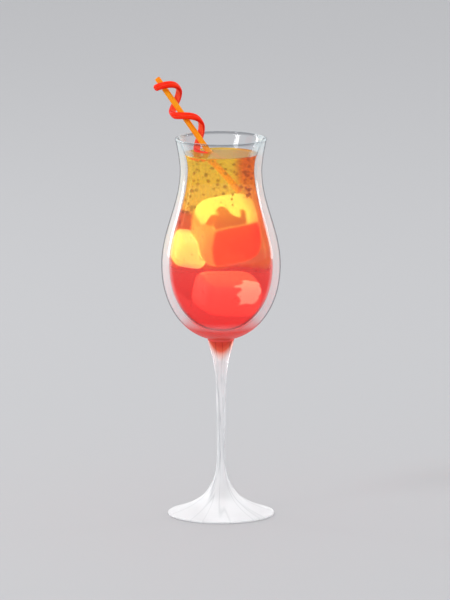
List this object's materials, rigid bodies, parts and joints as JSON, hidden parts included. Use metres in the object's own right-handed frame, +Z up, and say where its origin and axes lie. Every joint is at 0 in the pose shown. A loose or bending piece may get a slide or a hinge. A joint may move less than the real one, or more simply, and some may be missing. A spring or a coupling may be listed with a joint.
{
  "type": "sparkling aperitif cocktail",
  "caption": "Stemmed tulip glass of two-tone sparkling aperitif, golden orange over red, with a leaning straw and a spiral of red citrus peel round it.",
  "frame": {"origin": "middle of the flat underside of the foot", "axes": "+Z up the glass, -Y towards the viewer, so the straw leans out to -X and a little to +Y"},
  "size_m": [0.0767, 0.0718, 0.2626],
  "materials": {
    "clear_glass": "clear polished glass",
    "golden_drink": "clear golden-orange sparkling liquid",
    "red_drink": "clear red liquid",
    "orange_straw": "smooth satin plastic",
    "red_peel": "waxy pitted citrus skin with pale pith inside"
  },
  "bodies": {
    "root": {"glass": "clear_glass", "drink_top": "golden_drink", "drink_base": "red_drink", "straw": "orange_straw", "peel_twist": "red_peel"}
  },
  "joints": []
}
